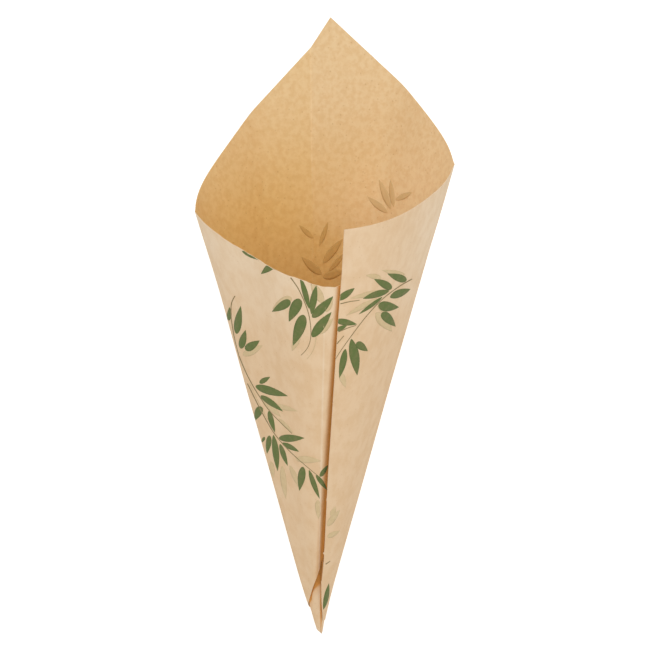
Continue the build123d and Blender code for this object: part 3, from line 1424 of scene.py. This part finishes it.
FLAP_LEAVES = Leaves(
    "leaves_flap",
    Side.FLAP,
    (
        (406.5, 280.3, 387.5, 273.8, 7.5, 0.5),
        (391.7, 288.4, 374.2, 279.1, 7.6, 0.5),
        (390.0, 297.4, 410.4, 289.0, 7.5, 0.75),
        (389.4, 290.6, 363.0, 298.6, 6.5, 0.8),
        (382.3, 296.9, 358.8, 314.2, 3.8, 0.8),
        (378.2, 305.6, 398.8, 307.2, 9.8, 0.55),
        (381.9, 312.6, 395.5, 326.6, 9.0, 0.5),
        (336.5, 300.5, 354.6, 288.2, 6.5, 0.8),
        (333.5, 320.5, 356.8, 324.3, 6.3, 0.8),
        (335.0, 330.5, 347.2, 325.2, 4.2, 0.8),
        (351.3, 338.9, 357.2, 375.2, 9.6, 0.8),
        (356.5, 342.6, 367.7, 351.0, 7.5, 0.55),
        (345.5, 349.0, 339.4, 377.8, 6.6, 0.7),
        (323.4, 609.5, 328.9, 583.3, 4.8, 0.9),
    ),
)
PALE_LEAVES = Leaves(
    "leaves_pale_flap",
    Side.FLAP,
    (
        (381.0, 290.4, 350.4, 298.4, 5.0, 0.8),
        (377.7, 298.4, 346.1, 315.6, 5.0, 0.8),
        (376.0, 312.6, 391.8, 331.4, 11.0, 0.7),
        (381.5, 278.0, 366.0, 275.2, 5.5, 0.7),
        (405.0, 274.6, 382.0, 270.2, 5.0, 0.7),
        (378.0, 304.0, 386.0, 313.0, 6.0, 0.7),
        (340.0, 372.0, 345.5, 387.5, 6.0, 0.7),
        (331.0, 516.0, 335.6, 506.5, 5.0, 0.6),
        (327.4, 526.0, 340.0, 509.6, 6.0, 0.6),
        (327.4, 537.0, 339.7, 530.7, 5.0, 0.6),
    ),
)
PALE_LEFT_LEAVES = Leaves(
    "leaves_pale_left",
    Side.LEFT_PANEL,
    (
        (323.7, 303.7, 311.0, 281.0, 9.0, 0.8),
        (291.5, 297.5, 272.5, 309.0, 9.0, 0.6),
        (326.0, 312.0, 333.0, 298.0, 6.0, 0.7),
        (319.0, 334.0, 333.0, 318.0, 7.0, 0.7),
        (299.0, 333.0, 292.0, 351.0, 7.0, 0.7),
        (243.0, 355.0, 262.5, 345.5, 8.0, 0.6),
        (296.0, 459.0, 321.0, 461.0, 7.0, 0.6),
        (282.0, 466.0, 286.0, 499.0, 6.0, 0.7),
        (289.6, 465.4, 300.3, 489.5, 5.0, 0.7),
        (270.9, 461.4, 273.6, 477.5, 5.0, 0.7),
        (272.9, 405.2, 297.7, 411.2, 5.0, 0.7),
        (278.9, 418.6, 293.0, 432.6, 4.0, 0.7),
        (317.6, 500.0, 318.5, 519.0, 6.0, 0.6),
        (262.0, 398.0, 281.0, 417.0, 6.5, 0.6),
    ),
)
SPRIG_STEMS = Stems(
    "stems_left",
    Side.LEFT_PANEL,
    (
        (
            (290.7, 277.7), (297.7, 286.8), (303.3, 298.8), (308.6, 312.1), (310.4, 322.6),
            (311.4, 333.2), (310.4, 343.0), (306.8, 350.7), (300.9, 355.3),
        ),
        ((235.0, 296.0), (231.0, 302.0), (231.0, 318.0), (234.5, 339.0), (239.0, 356.0)),
        ((239.0, 356.0), (246.0, 373.0), (254.0, 388.0), (269.0, 411.0), (292.0, 433.5)),
        (
            (247.5, 383.6), (260.0, 409.0), (274.0, 434.0), (289.0, 451.0), (307.0, 467.0),
            (319.0, 476.6),
        ),
    ),
)
FLAP_STEMS = Stems(
    "stems_flap",
    Side.FLAP,
    (
        (
            (412.0, 279.0), (400.0, 285.4), (389.6, 293.2), (381.2, 299.5), (374.2, 307.2),
            (363.7, 319.1), (355.3, 330.4), (348.2, 340.2), (340.5, 350.7), (335.5, 359.0),
        ),
        ((340.5, 303.7), (349.6, 301.6), (359.5, 300.2)),
        ((338.4, 331.8), (348.9, 327.5), (356.0, 325.4)),
        ((337.0, 343.7), (344.0, 335.6)),
        ((325.7, 564.2), (330.2, 561.0)),
    ),
)
PALE_STEMS = Stems(
    "stems_pale_left",
    Side.LEFT_PANEL,
    (
        ((316.2, 334.0), (315.8, 341.0), (314.4, 347.6), (311.1, 354.3), (307.0, 359.0)),
        ((249.5, 383.0), (256.0, 397.0), (262.0, 409.0), (268.0, 420.0)),
    ),
)
SHADOW_LEAVES = Leaves(
    "leaves_show_through",
    Side.INSIDE,
    (
        (388.0, 213.0, 367.5, 196.5, 6.5, 0.8),
        (391.0, 209.0, 379.0, 179.5, 7.0, 0.8),
        (394.0, 207.0, 391.0, 179.0, 5.0, 0.8),
        (396.0, 200.0, 412.5, 192.0, 5.5, 0.8),
    ),
)
DEEP_SHADOW_LEAVES = Leaves(
    "leaves_show_through_deep",
    Side.INSIDE,
    (
        (313.5, 238.5, 299.4, 225.2, 5.0, 0.8),
        (319.0, 246.5, 328.0, 222.0, 4.6, 0.9),
        (323.0, 263.5, 342.5, 239.0, 7.5, 0.8),
        (329.0, 271.0, 345.0, 252.5, 5.0, 0.8),
        (321.5, 274.5, 301.5, 257.0, 8.0, 0.7),
        (323.0, 277.5, 344.0, 270.5, 8.5, 0.7),
    ),
)


@dataclass(frozen=True)
class Studio:
    """A white floor under plain, even, soft light."""

    floor_side: float = 4.0
    floor_gap: float = 0.0004
    floor_colour: tuple = (0.86, 0.86, 0.86, 1.0)
    floor_glow: float = 0.55
    sky: float = 1.02
    lamp_power: float = 0.44
    lamp_size: float = 0.4
    lamp_place: tuple = (0.05, 0.12, 0.45)

    def build(self) -> None:
        """Makes the floor, the sky and one soft lamp, and sets the plain view."""
        scene = bpy.context.scene
        scene.view_settings.view_transform = "Standard"
        self.build_floor()
        self.build_sky(scene)
        lamp = bpy.data.lights.new("soft_lamp", "AREA")
        lamp.energy = self.lamp_power
        lamp.size = self.lamp_size
        holder = bpy.data.objects.new("soft_lamp", lamp)
        scene.collection.objects.link(holder)
        holder.location = self.lamp_place
        away = -holder.location.normalized()
        holder.rotation_euler = away.to_track_quat("-Z", "Y").to_euler()

    def build_floor(self) -> None:
        """A white floor that the camera sees as pure white wherever no shadow falls."""
        half = self.floor_side / 2.0
        corners = [(-half, -half), (half, -half), (half, half), (-half, half)]
        mesh = bpy.data.meshes.new("floor")
        mesh.from_pydata([(x, y, -self.floor_gap) for x, y in corners], [], [(0, 1, 2, 3)])
        floor = bpy.data.objects.new("floor", mesh)
        bpy.context.scene.collection.objects.link(floor)
        material, tree = start_material("matt_white_floor")
        matt = add_node(tree, "ShaderNodeBsdfDiffuse", {}, {"Color": self.floor_colour})
        inputs = {0: self.seen_rays(tree), 1: self.floor_glow}
        lift = add_node(tree, "ShaderNodeMath", {"operation": "MULTIPLY"}, inputs)
        glow = add_node(tree, "ShaderNodeEmission", {}, {"Strength": lift.outputs[0]})
        both = add_node(tree, "ShaderNodeAddShader", {}, {0: matt.outputs[0], 1: glow.outputs[0]})
        add_node(tree, "ShaderNodeOutputMaterial", {}, {"Surface": both.outputs[0]})
        mesh.materials.append(material)

    def build_sky(self, scene: bpy.types.Scene) -> None:
        """An even sky that lights the bag plainly, and is white where it is seen.

        Args:
            scene: The scene.
        """
        world = bpy.data.worlds.new("plain_sky")
        scene.world = world
        world.use_nodes = True
        tree = world.node_tree
        tree.nodes.clear()
        seen = self.seen_rays(tree)
        inputs = {"Value": seen, "To Min": self.sky, "To Max": 1.0}
        level = add_node(tree, "ShaderNodeMapRange", {}, inputs)
        light = add_node(tree, "ShaderNodeBackground", {}, {"Strength": level.outputs["Result"]})
        add_node(tree, "ShaderNodeOutputWorld", {}, {"Surface": light.outputs[0]})

    @staticmethod
    def seen_rays(tree: bpy.types.NodeTree) -> bpy.types.NodeSocket:
        """1 for rays that show the background itself, in the picture or in a gloss.

        Args:
            tree: The node tree.

        Returns:
            The socket.
        """
        path = add_node(tree, "ShaderNodeLightPath", {}, {}).outputs
        seen = path["Is Camera Ray"]
        for ray in ("Is Glossy Ray", "Is Transmission Ray"):
            inputs = {0: seen, 1: path[ray]}
            seen = add_node(tree, "ShaderNodeMath", {"operation": "MAXIMUM"}, inputs).outputs[0]
        return seen


def main() -> None:
    """Builds the studio, the sheet and its print."""
    logging.basicConfig(level=logging.INFO, format="%(name)s: %(message)s")
    camera = PhotoCamera()
    roll = Roll()
    camera.build()
    Studio().build()
    sheet = RolledSheet(roll, camera)
    pieces = [sheet.build()]
    ink = SprigPrint(sheet, lift=-0.05)
    pale = SprigPrint(sheet, lift=-0.03, film=0.015)
    inside = SprigPrint(sheet, lift=0.15, film=0.09)
    for leaves in (PALE_LEAVES, PALE_LEFT_LEAVES):
        pieces.append(pale.build(leaves, PALE_INK))
    for leaves in (CENTRE_LEAVES, LEFT_LEAVES, LOW_LEAVES, FLAP_LEAVES):
        pieces.append(ink.build(leaves, LEAF_INK))
    pieces.append(pale.build(PALE_STEMS, PALE_INK))
    for stems in (SPRIG_STEMS, FLAP_STEMS):
        pieces.append(ink.build(stems, STEM_INK))
    pieces.append(inside.build(SHADOW_LEAVES, SHOW_THROUGH))
    pieces.append(inside.build(DEEP_SHADOW_LEAVES, SHOW_THROUGH_IN_PAINTED_SHADE))
    for piece in pieces:
        LOG.info("%s has %d faces", piece.name, len(piece.data.polygons))


if __name__ == "__main__":
    main()
